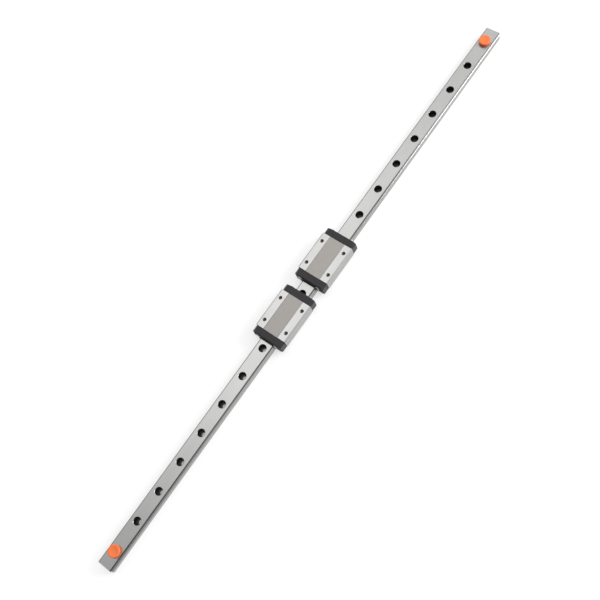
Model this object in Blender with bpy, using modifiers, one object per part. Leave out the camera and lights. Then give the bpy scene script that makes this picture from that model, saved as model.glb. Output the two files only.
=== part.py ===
"""A miniature profile rail with two ball carriages, and a stop plug in each end hole of the rail.

Units are metres and +Z is up. +X runs along the rail and +Y across it, and the origin is the middle of
the rail's underside. Each carriage is modelled about its own middle and hangs on an empty that lies on
the rail's axis. Left and right are -X and +X, front and back are -Y and +Y.
"""

import math

import bmesh
import bpy
from mathutils import Matrix

MM = 0.001
WELD = 0.0005 * MM
OVERSHOOT = 1 * MM  # how far a cutter runs past the face it opens

# Rail
RAIL_LENGTH = 500 * MM
RAIL_HALF_WIDTH = 6 * MM
RAIL_HEIGHT = 8 * MM
RAIL_BASE_CHAMFER = 0.5 * MM
RAIL_TOP_CHAMFER = 0.8 * MM
HOLE_PITCH = 25 * MM
HOLE_COUNT = 20
COUNTERBORE_RADIUS = 3 * MM
COUNTERBORE_DEPTH = 4.5 * MM
BOLT_HOLE_RADIUS = 1.75 * MM
HOLE_STEPS = 16

# Ball track: one loaded row and one return row on each side, both at the same height
BALL_RADIUS = 2.381 / 2 * MM
BALL_COUNT = 31
LOAD_ROW_Y = 6.15 * MM
RETURN_ROW_Y = 9.75 * MM
TRACK_Z = 5.6 * MM
RAIL_GROOVE_RADIUS = 1.3 * MM
BLOCK_GROOVE_RADIUS = 1.25 * MM
RETURN_BORE_RADIUS = 1.35 * MM
TURN_CHANNEL_RADIUS = 1.3 * MM
TURN_RADIUS = (RETURN_ROW_Y - LOAD_ROW_Y) / 2
TURN_Y = (RETURN_ROW_Y + LOAD_ROW_Y) / 2
WIRE_RADIUS = 0.3 * MM
WIRE_Y = 4.55 * MM
WIRE_SLOT_HALF_HEIGHT = 0.45 * MM
WIRE_SLOT_Y = 4.1 * MM

# Steel block of a carriage
BLOCK_HALF_LENGTH = 16.2 * MM
BLOCK_HALF_WIDTH = 13.5 * MM
BLOCK_TOP = 13 * MM
LEG_BOTTOM = 3 * MM
CHANNEL_HALF_WIDTH = 6.4 * MM
CHANNEL_TOP = 8.6 * MM
BLOCK_TOP_CHAMFER = (0.9 * MM, 0.7 * MM)  # across and down
LEG_CHAMFER = 0.6 * MM
RECESS_HALF_WIDTH = 6.7 * MM
RECESS_DEPTH = 0.3 * MM
MOUNT_HOLE_OFFSET = 10 * MM
MOUNT_HOLE_RADIUS = 1.5 * MM
MOUNT_HOLE_DEPTH = 3.5 * MM

# Plastic end cap, end seal and their screws, given for the right-hand end
FIT_GAP = 0.05 * MM
CAP_INNER_X = BLOCK_HALF_LENGTH + FIT_GAP
CAP_OUTER_X = 21.6 * MM
CAP_HALF_WIDTH = 13 * MM
CAP_TOP = 12.6 * MM
CAP_BOTTOM = 3 * MM
CAP_TOP_CHAMFER = 1.5 * MM
CAP_BOTTOM_CHAMFER = 0.3 * MM
CAP_CHANNEL_HALF_WIDTH = 6.5 * MM
CAP_CHANNEL_TOP = 8.5 * MM
SEAL_INNER_X = CAP_OUTER_X + FIT_GAP
SEAL_OUTER_X = SEAL_INNER_X + 0.4 * MM
SEAL_HALF_WIDTH = 12.2 * MM
SEAL_TOP = 11.8 * MM
SEAL_BOTTOM = 3.9 * MM
SEAL_CHAMFER = 2 * MM
SEAL_OPENING_GAP = 0.6 * MM
LIP_OUTER_X = 22.7 * MM
LIP_GAP = 0.12 * MM
LIP_WIDTH = 1 * MM
LIP_BOTTOM = 6.4 * MM
SCREW_Y = 8 * MM
SCREW_Z = 9.9 * MM
SCREW_HEAD_RADIUS = 1.6 * MM
SCREW_HEAD_HEIGHT = 0.65 * MM
SCREW_SHANK_RADIUS = 0.85 * MM
SCREW_LENGTH = 9.9 * MM
SCREW_CLEARANCE_RADIUS = 1.1 * MM
SCREW_TAPPED_RADIUS = 0.95 * MM
SCREW_TAPPED_DEPTH = 4 * MM
GREASE_HOLE_RADIUS = 0.9 * MM
GREASE_HOLE_Z = 10.5 * MM
GREASE_HOLE_DEPTH = 3 * MM
GUIDE_HALF_HEIGHT = 1.25 * MM
HOOK_X = SEAL_OUTER_X + FIT_GAP + WIRE_RADIUS
HOOK_TIP_Y = 8 * MM
HOOK_BEND = 0.5 * MM

# Stop plug, pushed into a counterbore
PLUG_HEAD_RADIUS = 4.6 * MM
PLUG_HEAD_HEIGHT = 2.9 * MM
PLUG_RIM = 0.6 * MM
PLUG_STEM_RADIUS = 2.8 * MM
PLUG_LEG_RADIUS = 1.55 * MM
PLUG_LEG_TIP_Z = 0.4 * MM
PLUG_SLOT_WIDTH = 0.8 * MM
PLUG_STEPS = 28

CARRIAGES = {"left": -34.6 * MM, "right": 18.7 * MM}
ENDS = {"left": math.pi, "right": 0.0}  # each end is the right-hand one turned about Z
SIDES = {"front": -1, "back": 1}

# The section plane (y, z) of a prism becomes world Y and Z, and its depth becomes X
SECTION = Matrix(((0, 0, 1, 0), (1, 0, 0, 0), (0, 1, 0, 0), (0, 0, 0, 1)))


def clear_scene():
    for obj in list(bpy.data.objects):
        bpy.data.objects.remove(obj)


def new_collection(name):
    collection = bpy.data.collections.new(name)
    bpy.context.scene.collection.children.link(collection)
    return collection


def new_material(name, colour, metallic, roughness):
    material = bpy.data.materials.new(name)
    material.use_nodes = True
    shader = material.node_tree.nodes["Principled BSDF"]
    shader.inputs["Base Color"].default_value = (*colour, 1)
    shader.inputs["Metallic"].default_value = metallic
    shader.inputs["Roughness"].default_value = roughness
    material.diffuse_color = (*colour, 1)
    return material


def working_object(name, data, matrix=Matrix.Identity(4)):
    """An object in the cutters' collection, used only while a shape is being made."""
    obj = bpy.data.objects.new(name, data)
    obj.matrix_world = matrix
    obj.hide_render = True
    obj.display_type = "WIRE"
    bpy.data.collections["cutters"].objects.link(obj)
    return obj


def baked(obj):
    """The object's evaluated shape as one welded mesh in world coordinates; the object is removed."""
    bpy.context.view_layer.update()
    evaluated = obj.evaluated_get(bpy.context.evaluated_depsgraph_get())
    mesh = bpy.data.meshes.new_from_object(evaluated)
    mesh.transform(obj.matrix_world)
    shape = bmesh.new()
    shape.from_mesh(mesh)
    bmesh.ops.remove_doubles(shape, verts=shape.verts, dist=WELD)
    bmesh.ops.recalc_face_normals(shape, faces=shape.faces)
    shape.to_mesh(mesh)
    shape.free()
    bpy.data.objects.remove(obj)
    return mesh


def combined(base, tools, operation):
    """The base mesh with each tool object cut from it or joined to it."""
    body = working_object("body", base)
    for tool in tools:
        modifier = body.modifiers.new(tool.name, "BOOLEAN")
        modifier.operation = operation
        modifier.solver = "EXACT"
        modifier.object = tool
    mesh = baked(body)
    for tool in tools:
        bpy.data.objects.remove(tool)
    return mesh


def arc(centre, radius, start, end, steps):
    """Points on an arc in a plane, with its angles in degrees."""
    angles = [math.radians(start + (end - start) * i / steps) for i in range(steps + 1)]
    return [(centre[0] + radius * math.cos(a), centre[1] + radius * math.sin(a)) for a in angles]


def mirrored(half):
    """A closed outline from its +Y half; straight lines cross the middle plane from end to end of it."""
    return half + [(-y, z) for y, z in reversed(half)]


def prism(outlines, start_x, end_x):
    """A bar along X with the given section; outlines inside the first one are through holes."""
    curve = bpy.data.curves.new("section", "CURVE")
    curve.dimensions = "2D"
    curve.fill_mode = "BOTH"
    curve.extrude = (end_x - start_x) / 2
    for outline in outlines:
        spline = curve.splines.new("POLY")
        spline.points.add(len(outline) - 1)
        spline.use_cyclic_u = True
        for point, (y, z) in zip(spline.points, outline):
            point.co = (y, z, 0, 1)
    middle = Matrix.Translation(((start_x + end_x) / 2, 0, 0))
    return baked(working_object("prism", curve, middle @ SECTION))


def turned(profile, steps):
    """A solid turned about Z from (radius, height) points that run from the top to the bottom."""
    mesh = bpy.data.meshes.new("profile")
    edges = [(i, i + 1) for i in range(len(profile) - 1)]
    mesh.from_pydata([(radius, 0, height) for radius, height in profile], edges, [])
    obj = working_object("turned", mesh)
    screw = obj.modifiers.new("Screw", "SCREW")
    screw.axis = "Z"
    screw.steps = steps
    screw.render_steps = steps
    screw.use_merge_vertices = True
    screw.merge_threshold = WELD
    return baked(obj)


def tube(points, radii, closed, resolution):
    """A round tube through the points, whose radius is given at each of them."""
    curve = bpy.data.curves.new("path", "CURVE")
    curve.dimensions = "3D"
    curve.bevel_depth = 1
    curve.bevel_resolution = resolution
    curve.use_fill_caps = not closed
    spline = curve.splines.new("POLY")
    spline.points.add(len(points) - 1)
    spline.use_cyclic_u = closed
    for point, place, radius in zip(spline.points, points, radii):
        point.co = (*place, 1)
        point.radius = radius
    return baked(working_object("tube", curve))


def box_tool(low, high):
    mesh = bpy.data.meshes.new("box")
    shape = bmesh.new()
    bmesh.ops.create_cube(shape, size=1)
    shape.to_mesh(mesh)
    shape.free()
    middle = [(a + b) / 2 for a, b in zip(low, high)]
    size = [b - a for a, b in zip(low, high)]
    mesh.transform(Matrix.Translation(middle) @ Matrix.Diagonal((*size, 1)))
    return working_object("box", mesh)


def drill_tool(radius, start, end, steps):
    """A cylinder between two points that lie on a line along one of the axes."""
    direction = end - start
    mesh = bpy.data.meshes.new("drill")
    shape = bmesh.new()
    bmesh.ops.create_cone(
        shape, cap_ends=True, segments=steps, radius1=radius, radius2=radius, depth=direction.length
    )
    shape.to_mesh(mesh)
    shape.free()
    turn = direction.to_track_quat("Z", "Y").to_matrix().to_4x4()
    return working_object("drill", mesh, Matrix.Translation((start + end) / 2) @ turn)


def along_x(radius, start_x, end_x, y, z, steps=12):
    line = Matrix(((start_x, y, z), (end_x, y, z), (0, 0, 0)))
    return drill_tool(radius, line[0], line[1], steps)


def rail_mesh():
    groove = math.degrees(math.acos((LOAD_ROW_Y - RAIL_HALF_WIDTH) / RAIL_GROOVE_RADIUS))
    slot = math.degrees(math.asin(WIRE_SLOT_HALF_HEIGHT / RAIL_GROOVE_RADIUS))
    centre = (LOAD_ROW_Y, TRACK_Z)
    half = [(RAIL_HALF_WIDTH - RAIL_BASE_CHAMFER, 0), (RAIL_HALF_WIDTH, RAIL_BASE_CHAMFER)]
    half += arc(centre, RAIL_GROOVE_RADIUS, 180 + groove, 180 + slot, 4)
    half += [(WIRE_SLOT_Y, TRACK_Z - WIRE_SLOT_HALF_HEIGHT + FIT_GAP)]
    half += [(WIRE_SLOT_Y, TRACK_Z + WIRE_SLOT_HALF_HEIGHT - FIT_GAP)]
    half += arc(centre, RAIL_GROOVE_RADIUS, 180 - slot, 180 - groove, 4)
    half += [(RAIL_HALF_WIDTH, RAIL_HEIGHT - RAIL_TOP_CHAMFER)]
    half += [(RAIL_HALF_WIDTH - RAIL_TOP_CHAMFER, RAIL_HEIGHT)]
    bar = prism([mirrored(half)], -RAIL_LENGTH / 2, RAIL_LENGTH / 2)
    seat = RAIL_HEIGHT - COUNTERBORE_DEPTH
    top = RAIL_HEIGHT + OVERSHOOT
    profile = [(0, top), (COUNTERBORE_RADIUS, top), (COUNTERBORE_RADIUS, seat)]
    profile += [(BOLT_HOLE_RADIUS, seat), (BOLT_HOLE_RADIUS, -OVERSHOOT), (0, -OVERSHOOT)]
    first_hole = Matrix.Translation((-HOLE_PITCH * (HOLE_COUNT - 1) / 2, 0, 0))
    holes = working_object("holes", turned(profile, HOLE_STEPS), first_hole)
    array = holes.modifiers.new("Array", "ARRAY")
    array.count = HOLE_COUNT
    array.use_relative_offset = False
    array.use_constant_offset = True
    array.constant_offset_displace = (HOLE_PITCH, 0, 0)
    return combined(bar, [holes], "DIFFERENCE")


def block_mesh():
    groove = math.degrees(math.acos((CHANNEL_HALF_WIDTH - LOAD_ROW_Y) / BLOCK_GROOVE_RADIUS))
    floor = BLOCK_TOP - RECESS_DEPTH
    half = [(RECESS_HALF_WIDTH - RECESS_DEPTH, floor), (RECESS_HALF_WIDTH, BLOCK_TOP)]
    chamfer_width, chamfer_height = BLOCK_TOP_CHAMFER
    half += [(BLOCK_HALF_WIDTH - chamfer_width, BLOCK_TOP), (BLOCK_HALF_WIDTH, BLOCK_TOP - chamfer_height)]
    half += [(BLOCK_HALF_WIDTH, LEG_BOTTOM + LEG_CHAMFER), (BLOCK_HALF_WIDTH - LEG_CHAMFER, LEG_BOTTOM)]
    inner_chamfer = LEG_CHAMFER / 2
    half += [(CHANNEL_HALF_WIDTH + inner_chamfer, LEG_BOTTOM)]
    half += [(CHANNEL_HALF_WIDTH, LEG_BOTTOM + inner_chamfer)]
    half += arc((LOAD_ROW_Y, TRACK_Z), BLOCK_GROOVE_RADIUS, -groove, groove, 8)
    half += [(CHANNEL_HALF_WIDTH, CHANNEL_TOP)]
    bores = [arc((side * RETURN_ROW_Y, TRACK_Z), RETURN_BORE_RADIUS, 0, 330, 11) for side in SIDES.values()]
    body = prism([mirrored(half), *bores], -BLOCK_HALF_LENGTH, BLOCK_HALF_LENGTH)
    tools = []
    for x in (-MOUNT_HOLE_OFFSET, MOUNT_HOLE_OFFSET):
        for y in (-MOUNT_HOLE_OFFSET, MOUNT_HOLE_OFFSET):
            line = Matrix(((x, y, BLOCK_TOP + OVERSHOOT), (x, y, BLOCK_TOP - MOUNT_HOLE_DEPTH), (0, 0, 0)))
            tools.append(drill_tool(MOUNT_HOLE_RADIUS, line[0], line[1], 16))
    inner = BLOCK_HALF_LENGTH - SCREW_TAPPED_DEPTH
    outer = BLOCK_HALF_LENGTH + OVERSHOOT
    for y in (-SCREW_Y, SCREW_Y):
        tools.append(along_x(SCREW_TAPPED_RADIUS, inner, outer, y, SCREW_Z))
        tools.append(along_x(SCREW_TAPPED_RADIUS, -outer, -inner, y, SCREW_Z))
    return combined(body, tools, "DIFFERENCE")


def turn_pocket(y):
    """The space in an end cap for one U-turn of the balls and the guide inside it."""
    rim = arc((TURN_RADIUS, 0), TURN_CHANNEL_RADIUS, 90, -90, 8)
    profile = [(0, TURN_CHANNEL_RADIUS), *rim, (0, -TURN_CHANNEL_RADIUS)]
    place = Matrix.Translation((BLOCK_HALF_LENGTH, y, TRACK_Z))
    return working_object("pocket", turned(profile, 24), place)


def end_cap_mesh():
    half = [(CAP_HALF_WIDTH - CAP_TOP_CHAMFER, CAP_TOP), (CAP_HALF_WIDTH, CAP_TOP - CAP_TOP_CHAMFER)]
    half += [(CAP_HALF_WIDTH, CAP_BOTTOM + CAP_BOTTOM_CHAMFER)]
    half += [(CAP_HALF_WIDTH - CAP_BOTTOM_CHAMFER, CAP_BOTTOM)]
    half += [(CAP_CHANNEL_HALF_WIDTH, CAP_BOTTOM), (CAP_CHANNEL_HALF_WIDTH, CAP_CHANNEL_TOP)]
    body = prism([mirrored(half)], CAP_INNER_X, CAP_OUTER_X)
    past_outer = CAP_OUTER_X + OVERSHOOT
    tools = [along_x(GREASE_HOLE_RADIUS, CAP_OUTER_X - GREASE_HOLE_DEPTH, past_outer, 0, GREASE_HOLE_Z)]
    for side in SIDES.values():
        tools.append(turn_pocket(side * TURN_Y))
        bore_start = CAP_INNER_X - OVERSHOOT
        tools.append(along_x(SCREW_CLEARANCE_RADIUS, bore_start, past_outer, side * SCREW_Y, SCREW_Z))
    return combined(body, tools, "DIFFERENCE")


def lip_outline():
    """The +Y half of the wiping lip, which follows the rail's top and reaches into its ball groove."""
    radius = RAIL_GROOVE_RADIUS - LIP_GAP
    side = RAIL_HALF_WIDTH + LIP_GAP
    top = RAIL_HEIGHT + LIP_GAP
    edge = RAIL_HALF_WIDTH + LIP_WIDTH
    edge_top = RAIL_HEIGHT + LIP_WIDTH
    low = math.degrees(math.asin((LIP_BOTTOM - TRACK_Z) / radius))
    high = math.degrees(math.acos((side - LOAD_ROW_Y) / radius))
    half = [(edge - LIP_WIDTH, edge_top), (edge, edge_top - LIP_WIDTH), (edge, LIP_BOTTOM)]
    half += arc((LOAD_ROW_Y, TRACK_Z), radius, 180 - low, high, 5)
    return half + [(side, top - RAIL_TOP_CHAMFER), (side - RAIL_TOP_CHAMFER, top)]


def end_seal_mesh():
    opening = RAIL_HALF_WIDTH + SEAL_OPENING_GAP
    opening_top = RAIL_HEIGHT + SEAL_OPENING_GAP
    half = [(SEAL_HALF_WIDTH - SEAL_CHAMFER, SEAL_TOP), (SEAL_HALF_WIDTH, SEAL_TOP - SEAL_CHAMFER)]
    half += [(SEAL_HALF_WIDTH, SEAL_BOTTOM), (opening, SEAL_BOTTOM), (opening, opening_top)]
    plate = prism([mirrored(half)], SEAL_INNER_X, SEAL_OUTER_X)
    lip = prism([mirrored(lip_outline())], SEAL_INNER_X + FIT_GAP, LIP_OUTER_X)
    seal = combined(plate, [working_object("lip", lip)], "UNION")
    before = SEAL_INNER_X - OVERSHOOT
    after = SEAL_OUTER_X + OVERSHOOT
    tools = [along_x(GREASE_HOLE_RADIUS, before, after, 0, GREASE_HOLE_Z)]
    for y in (-SCREW_Y, SCREW_Y):
        tools.append(along_x(SCREW_CLEARANCE_RADIUS, before, after, y, SCREW_Z))
    return combined(seal, tools, "DIFFERENCE")


def screw_mesh():
    """A pan-head screw that points along +X, with the underside of its head at the origin."""
    top = SCREW_HEAD_HEIGHT
    shoulder = SCREW_HEAD_RADIUS * 0.85
    profile = [(0, top), (SCREW_HEAD_RADIUS * 0.55, top), (shoulder, top * 0.75)]
    profile += [(SCREW_HEAD_RADIUS, top * 0.35), (SCREW_HEAD_RADIUS, 0), (SCREW_SHANK_RADIUS, 0)]
    profile += [(SCREW_SHANK_RADIUS, WIRE_RADIUS - SCREW_LENGTH), (SCREW_SHANK_RADIUS * 0.6, -SCREW_LENGTH)]
    profile += [(0, -SCREW_LENGTH)]
    arm = SCREW_HEAD_RADIUS * 0.5
    width = SCREW_HEAD_RADIUS * 0.13
    floor = top * 0.35
    above = top + OVERSHOOT
    cross = combined(
        baked(box_tool((-arm, -width, floor), (arm, width, above))),
        [box_tool((-width, -arm, floor), (width, arm, above))],
        "UNION",
    )
    mesh = combined(turned(profile, 12), [working_object("cross", cross)], "DIFFERENCE")
    mesh.transform(Matrix.Rotation(math.pi / 2, 4, "Y"))
    return mesh


def return_guide_mesh():
    """The half-round inner wall of a U-turn, about its own vertical axis, with its flat side facing -X."""
    reach = 180 - math.degrees(math.asin(GUIDE_HALF_HEIGHT / TURN_CHANNEL_RADIUS))
    groove = arc((TURN_RADIUS, 0), TURN_CHANNEL_RADIUS, reach, 360 - reach, 6)
    spool = turned([(0, GUIDE_HALF_HEIGHT), *groove, (0, -GUIDE_HALF_HEIGHT)], 16)
    size = TURN_RADIUS + OVERSHOOT
    flat = box_tool((-size, -size, -size), (2 * FIT_GAP, size, size))
    return combined(spool, [flat], "DIFFERENCE")


def circuit_point(distance):
    """The ball track's centre line on the back side, at a distance along it from the left end."""
    straight = 2 * BLOCK_HALF_LENGTH
    bend = math.pi * TURN_RADIUS
    lap, rest = divmod(distance, straight + bend)
    if rest < straight:
        x = rest - BLOCK_HALF_LENGTH
        y = -TURN_RADIUS
    else:
        angle = (rest - straight) / TURN_RADIUS - math.pi / 2
        x = BLOCK_HALF_LENGTH + TURN_RADIUS * math.cos(angle)
        y = TURN_RADIUS * math.sin(angle)
    flip = 1 if lap % 2 == 0 else -1
    return (flip * x, TURN_Y + flip * y, TRACK_Z)


def ball_circuit_mesh():
    """The balls of one circuit as a closed string of beads, each joined to the next by a thin neck."""
    length = 4 * BLOCK_HALF_LENGTH + 2 * math.pi * TURN_RADIUS
    spacing = length / BALL_COUNT
    shoulder = spacing / 6
    shoulder_radius = math.sqrt(BALL_RADIUS**2 - shoulder**2)
    beads = [(-shoulder, shoulder_radius), (shoulder, shoulder_radius), (spacing / 2, BALL_RADIUS * 0.35)]
    stations = [(i * spacing + shift, radius) for i in range(BALL_COUNT) for shift, radius in beads]
    points = [circuit_point(distance % length) for distance, _ in stations]
    return tube(points, [radius for _, radius in stations], closed=True, resolution=1)


def ball_retainer_mesh():
    """The back wire that keeps the balls in, with both its ends bent out over the end seals."""
    corner = HOOK_X - HOOK_BEND
    right = [*arc((corner, WIRE_Y + HOOK_BEND), HOOK_BEND, 270, 360, 4), (HOOK_X, HOOK_TIP_Y)]
    route = [(-x, y) for x, y in reversed(right)] + right
    points = [(x, y, TRACK_Z) for x, y in route]
    return tube(points, [WIRE_RADIUS] * len(points), closed=False, resolution=1)


def stop_plug_mesh():
    """A stop plug about its own axis, at its height in the rail."""
    under = RAIL_HEIGHT + FIT_GAP
    top = under + PLUG_HEAD_HEIGHT
    seat = RAIL_HEIGHT - COUNTERBORE_DEPTH + 5 * FIT_GAP
    rim = arc((PLUG_HEAD_RADIUS - PLUG_RIM, top - PLUG_RIM), PLUG_RIM, 90, 0, 3)
    profile = [(0, top), *rim, (PLUG_HEAD_RADIUS, under), (PLUG_STEM_RADIUS, under)]
    profile += [(PLUG_STEM_RADIUS, seat), (PLUG_LEG_RADIUS, seat), (PLUG_LEG_RADIUS, 2 * PLUG_LEG_TIP_Z)]
    profile += [(PLUG_LEG_RADIUS - PLUG_LEG_TIP_Z, PLUG_LEG_TIP_Z), (0, PLUG_LEG_TIP_Z)]
    reach = PLUG_STEM_RADIUS + OVERSHOOT
    slot = box_tool((-reach, -PLUG_SLOT_WIDTH / 2, -OVERSHOOT), (reach, PLUG_SLOT_WIDTH / 2, seat))
    return combined(turned(profile, PLUG_STEPS), [slot], "DIFFERENCE")


def place(name, mesh, material, location=(0, 0, 0), angle=0.0, parent=None):
    """A finished piece: the mesh under its node name, with its material, place and parent."""
    if not mesh.materials:
        mesh.materials.append(material)
        mesh.shade_smooth()
        mesh.set_sharp_from_angle(angle=math.radians(30))
    obj = bpy.data.objects.new(name, mesh)
    obj.location = location
    obj.rotation_euler = (0, 0, angle)
    obj.parent = parent
    bpy.data.collections["linear_guide"].objects.link(obj)
    return obj


def carriage_meshes():
    return {
        "block": block_mesh(),
        "end_cap": end_cap_mesh(),
        "end_seal": end_seal_mesh(),
        "screw": screw_mesh(),
        "return_guide": return_guide_mesh(),
        "ball_circuit": ball_circuit_mesh(),
        "ball_retainer": ball_retainer_mesh(),
    }


def add_carriage(side, x, meshes, materials):
    """One carriage on its own empty: the block, and at each end a cap, a seal, guides and screws."""
    name = f"{side}_carriage"
    hub = bpy.data.objects.new(name, None)
    hub.location = (x, 0, 0)
    bpy.data.collections["linear_guide"].objects.link(hub)

    def add(kind, suffix="", location=(0, 0, 0), angle=0.0):
        place(f"{name}_{kind}{suffix}", meshes[kind], materials[kind], location, angle, hub)

    add("block")
    for row, angle in (("front", math.pi), ("back", 0.0)):
        add("ball_circuit", f"_{row}", angle=angle)
        add("ball_retainer", f"_{row}", angle=angle)
    for end, angle in ENDS.items():
        outward = 1 if end == "right" else -1
        add("end_cap", f"_{end}", angle=angle)
        add("end_seal", f"_{end}", angle=angle)
        for row, toward in SIDES.items():
            head = (outward * (SEAL_OUTER_X + FIT_GAP), toward * SCREW_Y, SCREW_Z)
            add("screw", f"_{end}_{row}", head, angle)
            turn = (outward * BLOCK_HALF_LENGTH, toward * TURN_Y, TRACK_Z)
            add("return_guide", f"_{end}_{row}", turn, angle)


def main():
    clear_scene()
    new_collection("linear_guide")
    new_collection("cutters")
    steel = (0.62, 0.62, 0.62)
    materials = {
        "rail": new_material("rail_steel", steel, 1.0, 0.3),
        "block": new_material("block_steel", (0.72, 0.71, 0.7), 1.0, 0.32),
        "end_cap": new_material("cap_plastic", (0.05, 0.05, 0.055), 0.0, 0.45),
        "end_seal": new_material("seal_rubber", (0.03, 0.03, 0.03), 0.0, 0.6),
        "screw": new_material("screw_steel", (0.55, 0.55, 0.55), 1.0, 0.25),
        "return_guide": new_material("guide_plastic", (0.08, 0.08, 0.085), 0.0, 0.5),
        "ball_circuit": new_material("ball_steel", (0.8, 0.8, 0.8), 1.0, 0.08),
        "ball_retainer": new_material("wire_steel", (0.7, 0.7, 0.7), 1.0, 0.2),
        "stop_plug": new_material("plug_plastic", (0.95, 0.22, 0.06), 0.0, 0.45),
    }
    place("rail", rail_mesh(), materials["rail"])
    meshes = carriage_meshes()
    for side, x in CARRIAGES.items():
        add_carriage(side, x, meshes, materials)
    plug = stop_plug_mesh()
    last_hole = HOLE_PITCH * (HOLE_COUNT - 1) / 2
    place("stop_plug_left", plug, materials["stop_plug"], (-last_hole, 0, 0))
    place("stop_plug_right", plug, materials["stop_plug"], (last_hole, 0, 0))


main()
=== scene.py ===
"""The finished look of a miniature linear guide: ground steel rail and blocks, moulded black end caps,
rubber-lipped seals, loose balls and orange stop plugs, on a pale floor in soft studio light.

Everything is in metres in the CAD model's frame: +X along the rail, +Y across it, +Z up.
"""

import math

import bmesh
import bpy
from mathutils import Matrix, Vector


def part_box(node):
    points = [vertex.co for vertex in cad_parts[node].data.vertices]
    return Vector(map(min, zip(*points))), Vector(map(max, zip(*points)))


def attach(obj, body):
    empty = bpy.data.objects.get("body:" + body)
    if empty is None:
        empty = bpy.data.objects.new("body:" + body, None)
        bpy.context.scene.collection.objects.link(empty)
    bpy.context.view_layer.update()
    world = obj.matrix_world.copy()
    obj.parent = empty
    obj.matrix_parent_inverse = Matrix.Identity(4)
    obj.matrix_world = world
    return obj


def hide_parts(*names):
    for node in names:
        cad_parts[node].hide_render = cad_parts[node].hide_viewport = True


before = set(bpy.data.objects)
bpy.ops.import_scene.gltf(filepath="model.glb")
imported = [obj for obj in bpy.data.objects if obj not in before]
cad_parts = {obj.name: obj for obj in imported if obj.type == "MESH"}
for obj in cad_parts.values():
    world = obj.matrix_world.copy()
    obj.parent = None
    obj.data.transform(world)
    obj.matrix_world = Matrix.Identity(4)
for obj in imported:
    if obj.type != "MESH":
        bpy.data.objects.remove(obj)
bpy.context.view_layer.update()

MM = 0.001
WELD = 0.0005 * MM
OVERSHOOT = 1 * MM
GAP = 0.05 * MM

rail_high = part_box("rail")[1]
RAIL_HALF_LENGTH = rail_high.x
RAIL_HALF_WIDTH = rail_high.y
RAIL_HEIGHT = rail_high.z
RAIL_TOP_CHAMFER = 0.8 * MM
HOLE_PITCH = 25 * MM
HOLE_COUNT = 20
COUNTERBORE_RADIUS = 3 * MM
COUNTERBORE_DEPTH = 4.5 * MM
BOLT_HOLE_RADIUS = 1.75 * MM
PLUG_HEAD_TOP = RAIL_HEIGHT + GAP + 2.9 * MM
PLUG_HEAD_RADIUS = 4.6 * MM
PLUG_RIM = 0.7 * MM

BALL_RADIUS = 2.381 / 2 * MM
BALL_COUNT = 31
LOAD_ROW_Y = 6.15 * MM
RETURN_ROW_Y = 9.75 * MM
TRACK_Z = 5.6 * MM
RAIL_GROOVE_RADIUS = 1.3 * MM
BLOCK_GROOVE_RADIUS = 1.25 * MM
TURN_RADIUS = (RETURN_ROW_Y - LOAD_ROW_Y) / 2
TURN_Y = (RETURN_ROW_Y + LOAD_ROW_Y) / 2
TURN_CHANNEL_RADIUS = 1.3 * MM
WIRE_RADIUS = 0.3 * MM
WIRE_Y = 4.55 * MM

BLOCK_HALF_LENGTH = 16.2 * MM
BLOCK_HALF_WIDTH = 13.5 * MM
BLOCK_TOP = 13 * MM
BLOCK_BOTTOM = 3 * MM
BLOCK_TOP_CHAMFER = (0.9 * MM, 0.7 * MM)  # across and down
CHANNEL_HALF_WIDTH = 6.4 * MM
CHANNEL_TOP = 8.6 * MM
RECESS_HALF_WIDTH = 6.7 * MM
RECESS_DEPTH = 0.3 * MM
MOUNT_HOLE_OFFSET = 10 * MM
RETURN_BORE_RADIUS = 1.35 * MM

CAP_OUTER_X = 21.6 * MM
SEAL_OUTER_X = 22.05 * MM
LIP_OUTER_X = 22.7 * MM
SCREW_Y = 8 * MM
SCREW_Z = 9.9 * MM
SCREW_BORE_RADIUS = 1.1 * MM
GREASE_HOLE_RADIUS = 0.9 * MM
GREASE_HOLE_Z = 10.5 * MM
HOOK_X = SEAL_OUTER_X + GAP + WIRE_RADIUS

ENDS = {"left": -1, "right": 1}
ROWS = {"front": -1, "back": 1}

RAIL_FINISHES = ("rail", "side", "groove", "bore", "chamfer")
PLUG_FINISHES = ("plug", "plug_wall")
BLOCK_FINISHES = ("block", "band", "thread", "block_side_painted_shade", "block_edge", "step")


# ---------------------------------------------------------------- shapes


def arc(centre, radius, start, end, steps):
    """Points on an arc in a plane, with its angles in degrees."""
    angles = [math.radians(start + (end - start) * i / steps) for i in range(steps + 1)]
    return [(centre[0] + radius * math.cos(a), centre[1] + radius * math.sin(a)) for a in angles]


def mirrored(half):
    """A closed outline from its +Y half; straight lines cross the middle plane from end to end of it."""
    return half + [(-y, z) for y, z in reversed(half)]


def turned_outline(outline):
    """The same outline, running anticlockwise."""
    area = sum(a[0] * b[1] - b[0] * a[1] for a, b in zip(outline, outline[1:] + outline[:1]))
    return outline if area > 0 else outline[::-1]


def rounded(outline, radius, steps=3, sharpest=25):
    """The outline with each corner that turns by more than an angle made round."""
    points = [Vector(p) for p in turned_outline(outline)]
    result = []
    for i, corner in enumerate(points):
        back = points[i - 1] - corner
        ahead = points[(i + 1) % len(points)] - corner
        turn = math.pi - back.angle(ahead)
        if math.degrees(turn) < sharpest:
            result.append(corner)
            continue
        reach = min(radius * math.tan(turn / 2), 0.45 * back.length, 0.45 * ahead.length)
        start = corner + back.normalized() * reach
        end = corner + ahead.normalized() * reach
        for k in range(steps + 1):
            t = k / steps
            result.append((1 - t) ** 2 * start + 2 * t * (1 - t) * corner + t**2 * end)
    return [tuple(p) for p in result]


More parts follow.
